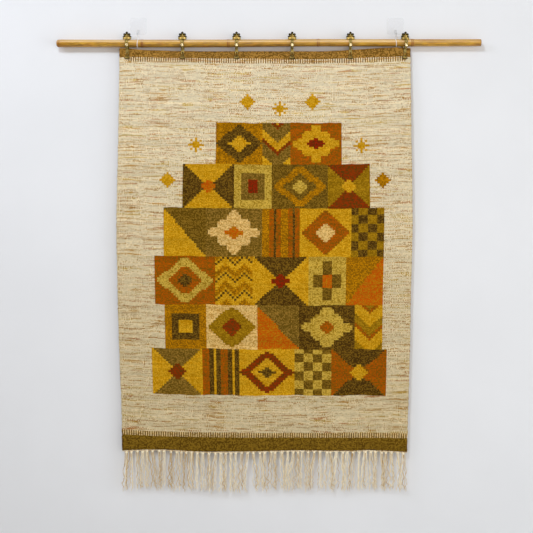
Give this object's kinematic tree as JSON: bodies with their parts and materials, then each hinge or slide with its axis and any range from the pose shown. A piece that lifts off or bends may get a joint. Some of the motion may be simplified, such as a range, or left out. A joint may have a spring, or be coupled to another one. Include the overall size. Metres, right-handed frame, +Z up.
{
  "type": "woven tapestry on hanging rod",
  "caption": "Flat-woven wall tapestry with a knotted fringe, held by brass clips on a cane rod that hangs by thread loops from clear wall hooks.",
  "frame": {"origin": "on the wall, behind the middle of the rod and within 2 mm of the height of its axis", "axes": "+X along the rod to the viewer's right, +Y into the wall, so that the face looks along -Y, and +Z up"},
  "size_m": [1.316, 0.0396, 1.4729],
  "materials": {
    "wool": "matt woven wool, ribbed by the warp",
    "warp_fringe": "matt twisted cotton",
    "cane": "satin natural cane",
    "brass": "cast brass, polished on its high places and dark in its hollows",
    "clear_plastic": "clear gloss",
    "thread": "matt twisted thread"
  },
  "bodies": {
    "root": {"rod": "cane", "cloth": "wool", "fringe": "warp_fringe", "clip_1_front": "brass", "clip_1_back": "brass", "clip_1_spring": "brass", "clip_2_front": "brass", "clip_2_back": "brass", "clip_2_spring": "brass", "clip_3_front": "brass", "clip_3_back": "brass", "clip_3_spring": "brass", "clip_4_front": "brass", "clip_4_back": "brass", "clip_4_spring": "brass", "clip_5_front": "brass", "clip_5_back": "brass", "clip_5_spring": "brass", "clip_6_front": "brass", "clip_6_back": "brass", "clip_6_spring": "brass", "hook_left": "clear_plastic", "thread_left": "thread", "hook_right": "clear_plastic", "thread_right": "thread"}
  },
  "joints": []
}
